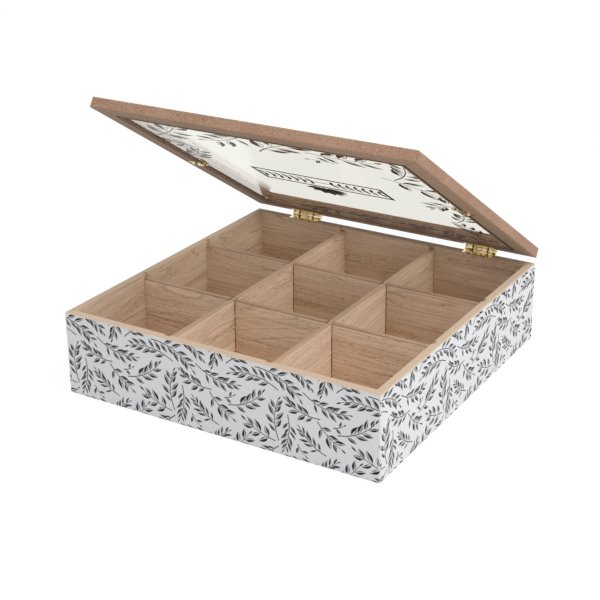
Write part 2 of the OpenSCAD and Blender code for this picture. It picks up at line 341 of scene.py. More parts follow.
def pressed_board(name, settings, seed, lid):
    """Bare fibreboard: short fibres as two fine noises, a slow cloud, and a dark line in the mitres.
    lid places the closed lid, so that the mitres are where |x| = |y|. Two dark lines along the glass
    are painted shade: one on the rebate's arris and wall, and one 3 mm out from it, where a gap would
    lie in shade. The underside is painted a duller brown, partly its smoother face and partly painted
    shade, and the lip's wall above the glass is painted darker as shade."""
    finish = Finish(name)
    shift = (seed * 1.9, seed * 2.3, seed * 0.7)
    x, y, z = finish.parts(finish.point(shift=lid.shift, turn=(lid.turn, 0, 0)))
    out = abs(x).most(abs(y))
    under_glass = -lid.thick / 2
    # where a line of painted shade runs, 3 mm out from the glass
    shade_line_place = lid.half + 3 * MM
    lip_wall = lid.half - 2.6 * MM

    cloud = finish.noise(finish.point((30, 30, 30), shift), detail=3)
    fibre = finish.noise(finish.point((1100, 1300, 1100), shift), detail=3, roughness=0.7)
    fleck = finish.noise(finish.point((520, 640, 560), shift)).rise(0.60, 0.72)
    bright = finish.noise(finish.point((760, 700, 820), shift), detail=1).rise(0.64, 0.74)
    shade = cloud.rise(0.3, 0.7) * 0.25 + fibre.rise(0.34, 0.66) * 0.5
    board = finish.mix(shade, settings.board, settings.fleck)
    board = finish.mix(fleck * 0.8, board, settings.fleck)
    board = finish.mix(bright * 0.4, board, BRIGHT_FIBRE)
    # painted shade: the underside a duller brown, partly its smoother face and partly the shade it lies in
    underside = z.rise(under_glass - 0.5 * MM, under_glass - 0.9 * MM)
    board = finish.mix(underside * 0.5, board, UNDERSIDE_SHADE)

    mitre = abs(x).near(abs(y), 0.45 * MM, 0.1 * MM)
    # painted shade: a dark line 3 mm out from the glass, and a fainter one on the rebate's arris and wall
    gap_shade_line = out.near(shade_line_place, 1.3 * MM, 0.9 * MM)
    arris = out.rise(lid.half + 0.8 * MM, lid.half + 0.5 * MM) * 0.45
    rebate = arris.most(gap_shade_line) * z.rise(under_glass + 0.2 * MM, under_glass)
    # painted shade on the lip's wall above the glass
    lip = out.rise(lip_wall + 0.4 * MM, lip_wall) * z.rise(-under_glass, 0.3 * MM - under_glass)
    board = finish.mix(lip * 0.8, board, LIP_SHADE, "MULTIPLY")
    # dark lines in the mitres, and the painted shade along the glass
    board = finish.mix((mitre * 0.5).most(rebate * 0.96), board, FRAME_LINE_AND_SHADE)
    return finish.principled(Base_Color=board, Roughness=0.68 + fibre * 0.2,
                             Normal=finish.bump(fibre + fleck * 0.4, 0.3, 0.1))


def pasted_paper(name, settings, height):
    """Smooth white paper: faint fibres, and worn, slightly brown edges at the top and the bottom."""
    finish = Finish(name)
    z = finish.parts(finish.point())[2]
    fibre = finish.noise(finish.point((700, 700, 500)), detail=3, roughness=0.65)
    cloud = finish.noise(finish.point((16, 16, 22)))
    worn = finish.noise(finish.point((90, 90, 60)), detail=3).rise(0.35, 0.7)
    upper = z.rise(height - 1.6 * MM, height - 0.5 * MM) * (0.25 + worn * 0.5)
    lower = z.rise(1.6 * MM, 0.6 * MM) * worn * 0.5
    paper = finish.mix(cloud.rise(0.3, 0.7) * 0.05 + fibre * 0.05, settings.paper, PAPER_FIBRE)
    paper = finish.mix(upper.most(lower) * 0.6, paper, WORN_PAPER)
    return finish.principled(Base_Color=paper, Roughness=0.42 + fibre * 0.14,
                             Normal=finish.bump(fibre, 0.12, 0.06))


def printed_ink(name, settings, roughness):
    """Black ink laid on with a brush: the piece's own 'tone' says how thin each stroke is."""
    finish = Finish(name)
    tone = finish.node("ShaderNodeAttribute", {"attribute_name": "tone"}).other("Fac")
    grain = finish.noise(finish.point((1500, 1500, 1500)), detail=3, roughness=0.7)
    thin = (tone + (grain - 0.5) * 0.3).rise(0.05, 1.0)
    ink = finish.mix(thin, settings.ink, settings.wash)
    return finish.principled(Base_Color=ink, Roughness=roughness + grain * 0.15, Specular_IOR_Level=0.3,
                             Normal=finish.bump(grain, 0.1, 0.04))


def clear_glass(name, settings, lid):
    """Thin clear glass: it mirrors 4% head on and more towards a grazing view, by Schlick's rule
    0.04 + share (1 - cos)^n, and lets the rest through with a faint tint. The share is small on the
    wiped middle and large in the sheen near the left edge, which ends at a slanting line before the
    rear corner. Streaks and smears break it up."""
    finish = Finish(name)
    x, y, _ = finish.parts(finish.point(shift=lid.shift, turn=(lid.turn, 0, 0)))
    near_left = (-1 * x).rise(lid.half - 34 * MM, lid.half - 22 * MM)
    before_slant = (y + 1.67 * x).rise(-68 * MM, -73 * MM)
    sheen = near_left * before_slant
    streak = finish.noise(finish.point((900, 30, 30)), detail=3, roughness=0.6).rise(0.3, 0.7)
    smear = finish.noise(finish.point((20, 26, 20)), detail=4, roughness=0.6).rise(0.4, 0.8)
    facing = finish.node("ShaderNodeLayerWeight", {}, {"Blend": 0.5}).other("Facing")
    mirror = 0.04 + 0.06 * facing ** 5 + sheen * (0.62 + 0.3 * streak) * facing ** 3
    clear = finish.node("ShaderNodeBsdfTransparent", {}, {"Color": settings.tint})
    gloss = finish.node("ShaderNodeBsdfPrincipled", {}, {
        "Base Color": GLASS_MIRROR, "Metallic": 1.0, "Roughness": 0.015 + smear * 0.05})
    return finish.close(finish.node("ShaderNodeMixShader", {}, {0: mirror, 1: clear, 2: gloss}))


def plated_brass(name, settings, seed, dulled=0.5, rough=0.0, gaps=()):
    """Polished brass sheet: rolling marks along it, dull patches and fine pits. The dull patches are
    tarnish and also painted dark reflection, where the metal would mirror darker things. dulled is
    the patches' depth, rough adds to the roughness, and gaps are the places along X where two
    knuckles meet, painted dark as the shade in the gap."""
    finish = Finish(name)
    shift = (seed * 2.7, seed, seed * 1.9)
    x = finish.parts(finish.point())[0]
    rolled = finish.noise(finish.point((140, 3600, 3200), shift), detail=3, roughness=0.6)
    # dull patches: tarnish, and painted dark reflection
    tarnish_and_dark_reflection = finish.noise(finish.point((420, 520, 560), shift), detail=3, roughness=0.6).rise(0.50, 0.59)
    pit = finish.noise(finish.point((2600, 2600, 2600), shift), detail=1).rise(0.66, 0.76)
    brass = finish.mix(tarnish_and_dark_reflection * dulled, settings.bright, settings.dull)
    brass = finish.mix(pit * 0.5, brass, settings.dull)
    for place in gaps:
        # painted shade in the gap where two knuckles meet
        brass = finish.mix(x.near(place, 0.7 * MM, 0.3 * MM) * 0.9, brass, KNUCKLE_GAP_SHADE)
    return finish.principled(Base_Color=brass, Metallic=1.0,
                             Roughness=settings.roughness + rough + tarnish_and_dark_reflection * 0.2 + rolled * 0.08,
                             Normal=finish.bump(rolled * 0.5 - pit, 0.16, 0.05))


def wear(material, *nodes):
    """Puts a material on CAD nodes, in the slot that they have."""
    for name in nodes:
        slots = NODES[name].data.materials
        if len(slots):
            slots[0] = material
        else:
            slots.append(material)


# ---- The leaf print ---------------------------------------------------------------------------


# Lengths in millimetres and angles in radians. A sprig is its stem's points and a table of leaves, one
# to a row: the foot's x and y, heading, length, width, dark side (1 left, -1 right) and curl.
SPRIGS = {     # stem, bend, leaves on each side, leaf length and width, spread, alternate
    "willow": (34, 0.9, 5, 7.4, 2.3, 0.76, True),
    "olive": (29, -0.8, 4, 7.8, 2.8, 0.80, True),
    "bay": (25, 0.5, 3, 8.4, 3.3, 0.86, False),
    "needle": (24, 0.7, 5, 6.6, 1.7, 0.80, True),
    "twig": (16, 0.6, 3, 6.2, 2.2, 0.76, True),
    "bud": (8.5, -0.6, 1, 4.8, 2.0, 0.9, True),
}
HEADING, LENGTH, WIDTH, SIDE = 2, 3, 4, 5      # columns of the leaves' table
STEM_POINTS = 33
BANDS = {      # a leaf's bands: start and stop along it, tone (0 black, 1 thin wash) and height
    "wash": (0.0, 1.0, 0.8, 0.0),
    "crescent": (0.0, 1.0, 0.0, 1.0),
    "outline": (0.0, 1.0, 0.12, 1.2),
    "vein": (-0.16, 0.85, 0.15, 1.4),
    "hatch": (0.2, 0.75, 0.35, 1.0),
}
STEM_TONE, STEM_HEIGHT = 0.12, 1.6
RULE_TONE, RULE_HEIGHT = 0.05, 1.5
PAPER_SPRIGS = ["willow"] * 4 + ["olive"] * 5 + ["bay"] * 3 + ["needle"] * 5 + ["twig"] * 9 + ["bud"] * 12
GLASS_ZONES = (            # two corners and the sprigs of the front, right, rear and left border
    ((-96, -98), (98, -72), ["bay"] * 5 + ["olive"] * 2 + ["twig"] * 5 + ["bud"] * 6),
    ((84, -50), (98, 70), ["twig"] * 3 + ["bay"] + ["bud"] * 4),
    ((-70, 88), (90, 99), ["twig"] * 4 + ["bay"] * 3 + ["bud"] * 4),
    ((-100, -58), (-86, -12), ["twig"] * 2 + ["bud"] * 2),
)
GOLDEN_SHARE, GOLDEN_ANGLE = 0.618, 2.39996


def sprig(kind, scale):
    """A sprig with its foot at the origin. At the share t of the stem its heading is bend * t, and its
    points are the running sum of that heading's cosine and sine. Leaves stand off it by the spread,
    which closes towards the tip, on stalks of a share of their length, and are longest in the middle.
    Steps of the golden ratio vary them."""
    length, bend, pairs, leaf, wide, spread, alternate = SPRIGS[kind]
    first, leafy, fullest = 0.2, 0.74, 0.45       # shares of the stem
    stalk = 0.15                                  # share of a leaf's length
    t = np.linspace(0, 1, STEM_POINTS)
    heading = bend * t
    step = np.diff(t, prepend=0) * length * scale
    stem = np.stack([np.cumsum(np.cos(heading) * step), np.cumsum(np.sin(heading) * step)], 1)
    pitch = leafy / pairs
    at = first + pitch * np.arange(pairs)
    at = np.concatenate([at, at + (pitch / 2 if alternate else 0.01), [1.0]])
    hand = np.concatenate([np.ones(pairs), -np.ones(pairs), [0.0]])
    vary = np.modf(np.arange(2 * pairs + 1) * GOLDEN_SHARE + scale * 7)[0] - 0.5
    foot = np.stack([np.interp(at, t, stem[:, 0]), np.interp(at, t, stem[:, 1])], 1)
    turn = bend * at + hand * spread * (1.15 - 0.5 * at) + vary * 0.3
    size = leaf * scale * (1 - 0.5 * (at - fullest) ** 2 / 0.3) * (1 + vary[::-1] * 0.22)
    shape = np.where(hand == 0, 0.8, 1.0) * wide * (1 + vary * 0.3) / leaf * size
    foot += stalk * (size * np.abs(hand))[:, None] * np.stack([np.cos(turn), np.sin(turn)], 1)
    side = np.where(hand == 0, 1.0, hand)
    return stem, np.column_stack([foot, turn, size, shape, side, -hand * 0.10 + vary * 0.12])


def dark_leaves(stem, feet, headings, length, wide):
    """Full dark leaves at the given feet, each drawn as two halves that share an axis."""
    halves = []
    for side in (1.0, -1.0):
        alike = np.tile([length, wide, side, 0.0], (len(headings), 1))
        halves.append(np.column_stack([feet, headings, alike]))
    return stem, np.concatenate(halves)


def lay(stem, leaves, x, y, heading, hand):
    """Mirrors a sprig for hand -1, turns it by its heading and moves it to (x, y)."""
    c, s = math.cos(heading), math.sin(heading)
    turn = np.array([[c, s], [-s, c]])

    def move(points):
        return (points * (1, hand)) @ turn + (x, y)

    placed = leaves.copy()
    placed[:, :HEADING] = move(leaves[:, :HEADING])
    placed[:, HEADING] = leaves[:, HEADING] * hand + heading
    placed[:, SIDE:] *= hand
    return move(stem), placed


def touch_points(stem, leaves):
    """Points that stand for a sprig where it must keep clear, as x, y and radius."""
    ahead = np.stack([np.cos(leaves[:, HEADING]), np.sin(leaves[:, HEADING])], 1)
    along = leaves[:, LENGTH, None] * np.array([0.3, 0.65, 1.0])
    spots = (leaves[:, None, :HEADING] + along[..., None] * ahead[:, None]).reshape(-1, 2)
    radius = (leaves[:, WIDTH, None] * np.array([0.5, 0.45, 0.1])).ravel()
    on_stem = stem[::4]
    return np.concatenate([np.column_stack([spots, radius]),
                           np.column_stack([on_stem, np.full(len(on_stem), 0.3)])])


def scatter(kinds, low, high, wrap, clear, seed, allowed=None, scale=1.0):
    """Places sprigs one by one, all tries of one at once. A grid holds, for each cell, the distance to
    the nearest touch point's rim. A try counts where that is at least clear and its own radius at all
    its touch points, and the closest packed try is kept. Headings step on by the golden angle. wrap is
    the width after which the print repeats."""
    tries = 1500
    cell, margin, far = 0.5 * scale, 30 * scale, 6.0 * scale
    dice = np.random.default_rng(seed)
    around = np.array([0 if wrap else margin, margin])
    start, stop = np.array(low) - around, np.array(high) + around
    columns, rows = np.ceil((stop - start) / cell).astype(int)
    grid_x, grid_y = np.meshgrid(start[0] + cell * np.arange(columns), start[1] + cell * np.arange(rows))
    room = np.full((rows, columns), far)
    kept = []
    for count, kind in enumerate(kinds):
        stem, leaves = sprig(kind, scale * dice.uniform(0.88, 1.12))
        spots = touch_points(stem, leaves)
        heading = count * GOLDEN_ANGLE + dice.normal(0, 0.6, tries)
        hand = dice.choice([-1.0, 1.0], tries)
        c, s = np.cos(heading)[:, None], np.sin(heading)[:, None]
        aim = dice.uniform(low, high, (tries, 2))
        middle = stem[STEM_POINTS // 2] * np.stack([np.ones(tries), hand], 1)
        mx, my = middle[:, :1], middle[:, 1:]
        foot = aim - np.concatenate([mx * c - my * s, mx * s + my * c], 1)
        px, py = spots[:, 0][None], spots[:, 1][None] * hand[:, None]
        mine = np.stack([foot[:, :1] + px * c - py * s, foot[:, 1:] + px * s + py * c], -1)
        at = np.round((mine - start) / cell).astype(int)
        column = at[..., 0] % columns if wrap else at[..., 0].clip(0, columns - 1)
        spare = room[at[..., 1].clip(0, rows - 1), column] - spots[:, 2]
        good = spare.min(1) >= clear
        if allowed:
            good &= allowed(mine)
        if good.any():
            best = np.where(good, spare.mean(1), np.inf).argmin()
            kept.append(lay(stem, leaves, *foot[best], heading[best], hand[best]))
            for (x, y), radius in zip(mine[best], spots[:, 2]):
                across = grid_x - x
                if wrap:
                    across = (across + wrap / 2) % wrap - wrap / 2
                room = np.minimum(room, np.hypot(across, grid_y - y) - radius)
    return kept


def strokes(sprigs, line, dark=1.0):
    """Draws sprigs as flat bands of ink and gives points, heights, tones and faces.
    A leaf's half-width at the share t of its length is width / 2 * sin(pi t^0.8)^0.9, about a middle
    line that leans by its curl times t squared. Its bands lie between two such offsets: a grey wash, a
    dark crescent on one side, an outline on the other, a vein and a short hatch. dark is the crescent's
    share of the half-width. A stem is a band that narrows from its foot to its tip."""
    leaves = np.concatenate([leaves for _, leaves in sprigs])
    x, y, heading, length, width, side, curl = leaves.T[:, :, None, None]
    start, stop, tone, height = (np.array(column)[None, :, None] for column in zip(*BANDS.values()))
    t = np.linspace(0, 1, 7)[None, None, :]
    bulge = np.sin(math.pi * t ** 0.8).clip(0, 1) ** 0.9
    half = width / 2 * bulge
    weight = dark + 0.25 * np.modf(np.arange(len(leaves)) * GOLDEN_SHARE)[0][:, None, None]
    crescent = 1 - weight * np.sin(math.pi * t) ** 0.7
    outline = np.minimum(line * (0.4 + 0.6 * bulge), half)
    vein = line * 0.4 * (1.1 - t) + 0 * half
    hatch = line * 0.5 * np.sin(math.pi * t)
    low = np.concatenate([-0.15 * half, crescent * half, -half, -vein, -0.5 * half - hatch], 1)
    high = np.concatenate([0.92 * half, half, -half + outline, vein, -0.5 * half + hatch], 1)
    share = start + (stop - start) * t
    across = np.stack([low, high], 3) * side[..., None]
    along = (share * length)[..., None] + 0 * across
    across = across + (curl * length * share ** 2)[..., None]
    c, s = np.cos(heading)[..., None], np.sin(heading)[..., None]
    points = np.stack([x[..., None] + along * c - across * s, y[..., None] + along * s + across * c], -1)
    count, bands, steps = points.shape[:3]
    at = np.arange(count * bands * steps * 2).reshape(count * bands, steps, 2)
    flip = np.repeat(side.ravel() < 0, bands)
    at = np.where(flip[:, None, None], at[:, :, ::-1], at)

    stems = np.stack([stem[::2] for stem, _ in sprigs])
    ahead = np.gradient(stems, axis=1)
    ahead /= np.linalg.norm(ahead, axis=2, keepdims=True)
    left = np.stack([-ahead[..., 1], ahead[..., 0]], -1)
    wide = (line * np.linspace(0.85, 0.35, stems.shape[1]))[None, :, None]
    band = np.stack([stems - left * wide, stems + left * wide], 2)
    on_stem = band[..., 0]
    stem_at = np.arange(on_stem.size).reshape(on_stem.shape) + points[..., 0].size

    def all_points(on_leaf, on_stems):
        """One value for each band of a leaf and one for the stems, as a value for each point."""
        return np.concatenate([np.broadcast_to(on_leaf[..., None], points.shape[:-1]).ravel(),
                               np.full(on_stem.size, on_stems)])

    return (np.concatenate([points.reshape(-1, 2), band.reshape(-1, 2)]), all_points(height, STEM_HEIGHT),
            all_points(tone, STEM_TONE), np.concatenate([band_faces(at), band_faces(stem_at)]))


def band_faces(at):
    """The faces of bands, from the numbers of their points as band, step and side."""
    return np.stack([at[:, :-1, 0], at[:, 1:, 0], at[:, 1:, 1], at[:, :-1, 1]], -1).reshape(-1, 4)


def rule_lines(corners, line):
    """A closed ruled line round corners, as a band between two offsets of a rectangle."""
    (x0, y0), (x1, y1) = corners
    ring = np.array([[x0, y0], [x1, y0], [x1, y1], [x0, y1]])
    outward = np.sign(ring - ring.mean(0))
    points = np.stack([ring + outward * line / 2, ring - outward * line / 2], 1).reshape(-1, 2)
    outer = 2 * np.arange(len(ring))
    following = np.roll(outer, -1)
    faces = np.stack([outer, following, following + 1, outer + 1], 1)
    return points, np.full(len(points), RULE_HEIGHT), np.full(len(points), RULE_TONE), faces


def join(*drawings):
    """Several drawings as one."""
    points, heights, tones, faces = zip(*drawings)
    counts = np.cumsum([0] + [len(some) for some in points])
    return (np.concatenate(points), np.concatenate(heights), np.concatenate(tones),
            np.concatenate([some + start for some, start in zip(faces, counts)]))


def border_sprigs(half, wide, deep):
    """Sprigs along the border of a glass of half-width half, clear of the middle of the glass, where
    the ruled panel is, and of the left side's rear half. Up to 0.4 of one may lie past the edge."""
    middle_y, past, rear_y, rear_reach = 8, 5, 40, 36
    free_x, free_y = wide + 13, deep + 58

    def allowed(spots):
        x, y = spots[..., 0], spots[..., 1]
        outside = np.abs(spots).max(2) > half + past
        inside = (np.abs(x) < free_x) & (np.abs(y - middle_y) < free_y)
        bare = (x < 0) & (np.abs(y - rear_y) < rear_reach)
        return ~(inside | bare).any(1) & (outside.mean(1) < 0.4)

    sprigs = []
    for seed, (low, high, kinds) in enumerate(GLASS_ZONES, 7):
        sprigs += scatter(kinds, low, high, wrap=None, clear=2.8, seed=seed, allowed=allowed, scale=2.2)
    return sprigs


def garland(wide, centre):
    """Two stems from the middle of the panel to its ends, each with seven leaves above and below."""
    run = np.linspace(0, wide * 0.93, STEM_POINTS)
    places = np.tile(np.linspace(0.16, 0.9, 7) * wide, 2)
    headings = np.repeat([1.25, -1.25], 7)
    sides = []
    for hand in (-1, 1):
        stem = np.column_stack([hand * run, np.full(len(run), centre)])
        feet = np.column_stack([hand * places, np.full(len(places), centre)])
        turned = headings if hand > 0 else math.pi - headings
        sides.append(dark_leaves(stem, feet, turned, length=8.5, wide=3.0))
    return sides


def posy(top):
    """A fan of seven broad leaves on a short stem that stands on the panel's upper rule."""
    stem = np.column_stack([np.full(STEM_POINTS, -6.0), top + np.linspace(0, 6, STEM_POINTS)])
    headings = np.radians([8, 34, 62, 90, 118, 146, 172])
    feet = np.tile(stem[-1], (len(headings), 1))
    return [dark_leaves(stem, feet, headings, length=17, wide=8.5)]


def ink_piece(name, points, tones, faces, finish):
    """A mesh of the ink, with each point's tone kept as an attribute. Points without a face go."""
    mesh = bpy.data.meshes.new(name)
    used = np.unique(faces)
    new = np.full(len(points), -1)
    new[used] = np.arange(len(used))
    mesh.from_pydata(points[used].tolist(), [], new[faces].tolist())
    tone = mesh.attributes.new("tone", "FLOAT", "POINT")
    tone.data.foreach_set("value", np.ascontiguousarray(tones[used], dtype=np.float32))
    mesh.materials.append(finish)
    piece = bpy.data.objects.new(name, mesh)
    bpy.context.scene.collection.objects.link(piece)
    return piece


class Wrap:
    """The outside of the paper, unrolled: s runs round the box and v up it, both in metres.
    The outline is a square of half-width `half` with corners of radius `corner`: on a side the point
    moves straight, and on a corner it turns about the corner's centre. Below `foot` the side curves
    inward on an arc of that radius."""

    corner, foot = 1 * MM, 1.6 * MM
    beside_corner = 0.6 * MM       # how near a corner the print stops short of the foot
    off_top, off_hinges = 0.12 * MM, 0.7 * MM
    past_bottom = 0.05 * MM
    corner_lift, lift_reach = 0.09 * MM, 4 * MM      # keeps the flat faces clear of a round corner

    def __init__(self, node):
        low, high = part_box(node)
        self.half = high.x
        self.bottom, self.top = low.z, high.z
        self.side = 2 * (self.half - self.corner)
        self.quarter = self.side + self.corner * math.pi / 2
        self.length = SIDES * self.quarter

    def limits(self, s):
        """Lowest and highest v of the print at s: short of the corners' feet and the hinge recesses."""
        k, local = self.locate(s)
        bend = np.abs(local - self.side / 2) > self.side / 2 - self.beside_corner
        low = np.where(bend, self.foot * 0.9, self.bottom - self.past_bottom)
        high = self.top - np.where(k == REAR_SIDE, self.off_hinges, self.off_top)
        return low, high

    def locate(self, s):
        """The side that s is on, counted from the front, and how far along it."""
        s = np.mod(s, self.length)
        k = np.minimum(np.floor(s / self.quarter), SIDES - 1)
        return k, s - k * self.quarter

    def point(self, s, v, lift):
        """The place in space of (s, v), lifted off the paper."""
        k, local = self.locate(s)
        angle = np.clip((local - self.side) / self.corner, 0, math.pi / 2)
        straight = np.minimum(local, self.side) - self.side / 2
        from_corner = np.abs(local - self.side - self.quarter / 2 + self.side / 2)
        lift = lift + self.corner_lift * np.clip(1 - from_corner / self.lift_reach, 0, 1)
        droop = np.clip((self.foot - v) / self.foot, 0, math.pi / 2)
        inset = self.foot * (1 - np.cos(droop))
        z = np.where(v < self.foot, self.foot * (1 - np.sin(droop)), v) - lift * np.sin(droop)
        out = self.corner + lift * np.cos(droop) - inset
        x = straight + np.sin(angle) * out
        y = -(self.half - self.corner) - np.cos(angle) * out
        cosine, sine = np.cos(k * math.pi / 2), np.sin(k * math.pi / 2)
        return np.stack([x * cosine - y * sine, x * sine + y * cosine, z], -1)


class Pane:
    """The glass at rest: its middle, its directions, and the turn and shift that close the lid and
    bring the glass's middle to the origin."""

    def __init__(self, node):
        mesh = NODES[node].data
        places = np.empty(len(mesh.vertices) * 3, np.float32)
        mesh.vertices.foreach_get("co", places)
        corners = np.unique(np.round(places.reshape(-1, 3).astype(float), 6), axis=0)
        self.middle = corners.mean(0)
        spread = np.linalg.eigh(np.cov((corners - self.middle).T))
        normal = spread[1][:, 0]
        self.up = normal * np.sign(normal[2])
        self.right = np.array([1.0, 0.0, 0.0])
        self.back = np.cross(self.up, self.right)
        self.half = (corners @ self.right).max()
        self.thick = np.ptp(corners @ self.up)
        self.turn = math.atan2(self.up[1], self.up[2])
        c, s = math.cos(self.turn), math.sin(self.turn)
        y, z = self.middle[1], self.middle[2]
        self.shift = (0.0, -(y * c - z * s), -(y * s + z * c))

    def below(self, x, y, lift):
        """The place of (x, y) on the underside of the glass, lifted off it."""
        depth = -(self.thick / 2 + lift)
        return self.middle + x[:, None] * self.right + y[:, None] * self.back + depth[:, None] * self.up


# ---- Operators --------------------------------------------------------------------------------


class TEABOX_OT_boards(bpy.types.Operator):
    """Give every board of the box its own grain"""
    bl_idname = "teabox.boards"
    bl_label = "Finish the boards"

    # Each board's direction, seed and tone. The tone is painted shade on boards that the light leaves
    # darker, and painted light below 0.
    walls = {"front_wall": ("X", 1, 0.1), "rear_wall": ("X", 2.2, 0.42),
             "left_wall": ("Y", 3.4, 0.38), "right_wall": ("Y", 4.1, 0.1)}
    dividers = {"long_divider_left": ("Y", 5.3, 0.0), "long_divider_right": ("Y", 6.6, -0.25),
                "cross_divider_front": ("X", 7.9, 0.08), "cross_divider_rear": ("X", 9.2, 0.3)}
    joint_share = {"X": 0.86, "Y": 0.55}      # height of a divider's glued joint, as a share of the walls'

    def execute(self, context):
        wood = context.scene.teabox_boards
        wall_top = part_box("front_wall")[1].z
        for name, look in self.walls.items():
            wear(sawn_board(f"wood_{name}", wood, *look, strip=wood.strip, top=wall_top), name)
        left = [corner.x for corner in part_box("long_divider_left")]
        crossings = left + [-place for place in left]      # the layout is the same along X and Y
        for name, look in self.dividers.items():
            along = look[0]
            strip = wood.strip * self.joint_share[along]
            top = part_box(name)[1].z
            board = sawn_board(f"wood_{name}", wood, *look, strip, crossings, top, dark_top_line=along == "X")
            wear(board, name)
        wear(sawn_board("wood_bottom_panel", wood, "X", seed=11.5, tone=0.35), "bottom_panel")
        return {"FINISHED"}


class TEABOX_OT_paper(bpy.types.Operator):
    """Paste the paper round the walls and print its leaves"""
    bl_idname = "teabox.paper"
    bl_label = "Paper and leaf print"

    def execute(self, context):
        settings = context.scene.teabox_print
        wrap = Wrap("printed_wrap")
        wear(pasted_paper("pasted_paper", settings, wrap.top), "printed_wrap")
        tile = wrap.length / TILES_ROUND / MM
        over = 6                # millimetres that a sprig's middle may be above or below the paper
        upper = wrap.top / MM + over
        sprigs = scatter(PAPER_SPRIGS, (0, -over), (tile, upper), wrap=tile, clear=0.85, seed=11)
        points, heights, tones, faces = strokes(sprigs, settings.line / MM)
        turns = np.arange(TILES_ROUND)
        s = (points[:, 0][None] + turns[:, None] * tile).ravel() * MM
        v = np.tile(points[:, 1], TILES_ROUND) * MM
        low, high = wrap.limits(s)
        kept = (v > low) & (v < high)
        faces = (faces[None] + (turns * len(points))[:, None, None]).reshape(-1, 4)
        faces = faces[kept[faces].any(1)]
        lift = settings.lift * (1 + 0.35 * np.tile(heights, TILES_ROUND))
        place = wrap.point(s, np.clip(v, low, high), lift)
        piece = ink_piece("wrap_print", place, np.tile(tones, TILES_ROUND), faces,
                          printed_ink("ink_on_paper", settings, roughness=0.45))
        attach(piece, "box")
        return {"FINISHED"}


class TEABOX_OT_lid(bpy.types.Operator):
    """Finish the fibreboard frame of the lid"""
    bl_idname = "teabox.lid"
    bl_label = "Lid frame"

    def execute(self, context):
        pane = Pane("glass_pane")
        for seed, name in enumerate(("lid_front_rail", "lid_rear_rail", "lid_left_stile", "lid_right_stile")):
            wear(pressed_board(f"fibreboard_{name}", context.scene.teabox_lid, seed + 1.3, pane), name)
        return {"FINISHED"}


class TEABOX_OT_glass(bpy.types.Operator):
    """Clear the glass and print its leaves and ruled panel"""
    bl_idname = "teabox.glass"
    bl_label = "Glass and its print"

    def execute(self, context):
        glass, ink = context.scene.teabox_glass, context.scene.teabox_print
        pane = Pane("glass_pane")
        wear(clear_glass("clear_glass", glass, pane), "glass_pane")

        half = pane.half / MM
        line = ink.line / MM
        wide = glass.ornament / MM / 2
        deep, centre, rule = wide * 0.245, -5.0, 2.8
        points, heights, tones, faces = join(
            strokes(border_sprigs(half, wide, deep), line * 1.8, dark=1.15),
            strokes(garland(wide, centre), line * 2),
            strokes(posy(centre + deep), line * 2),
            rule_lines(((-wide, centre - deep), (wide, centre + deep)), rule))
        edge = half - 0.4
        kept = np.abs(points).max(1) < edge
        faces = faces[kept[faces].any(1)]
        flat = np.clip(points, -edge, edge) * MM
        place = pane.below(flat[:, 0], flat[:, 1], ink.lift * (0.3 + 0.25 * heights))
        piece = ink_piece("glass_print", place, tones * 0.8, faces[:, ::-1],
                          printed_ink("ink_on_glass", ink, roughness=0.3))
        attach(piece, "lid")
        return {"FINISHED"}


class TEABOX_OT_brass(bpy.types.Operator):
    """Finish the hinges, the clips and their screws"""
    bl_idname = "teabox.brass"
    bl_label = "Brass fittings"

    def execute(self, context):
        brass = context.scene.teabox_brass
        for hand, side in ((-1, "left"), (1, "right")):
            low, high = (corner.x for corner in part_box(f"box_leaf_{side}"))
            # places where the knuckles meet, painted dark as shade
            gaps = [(low + high) / 2 + place for place in (-brass.knuckle / 2, brass.knuckle / 2)]
            on_box = plated_brass(f"brass_leaf_{side}", brass, 1.0 + hand, dulled=0.75, gaps=gaps)
            on_lid = plated_brass(f"brass_lid_leaf_{side}", brass, 4.0 + hand, rough=0.2, gaps=gaps)
            wear(on_box, f"box_leaf_{side}")
            wear(on_lid, f"lid_leaf_{side}")
        pin = plated_brass("brass_pin", brass, 7.0, rough=0.05)
        clip = plated_brass("brass_clip", brass, 8.0, dulled=0.9, rough=0.1)
        screw = plated_brass("brass_screw", brass, 9.0, rough=0.06)
        wear(pin, "hinge_pin_left", "hinge_pin_right")
        wear(clip, "glass_clip_left", "glass_clip_right")
        wear(screw, "clip_screws", "box_leaf_screws", "lid_leaf_screws")
        return {"FINISHED"}


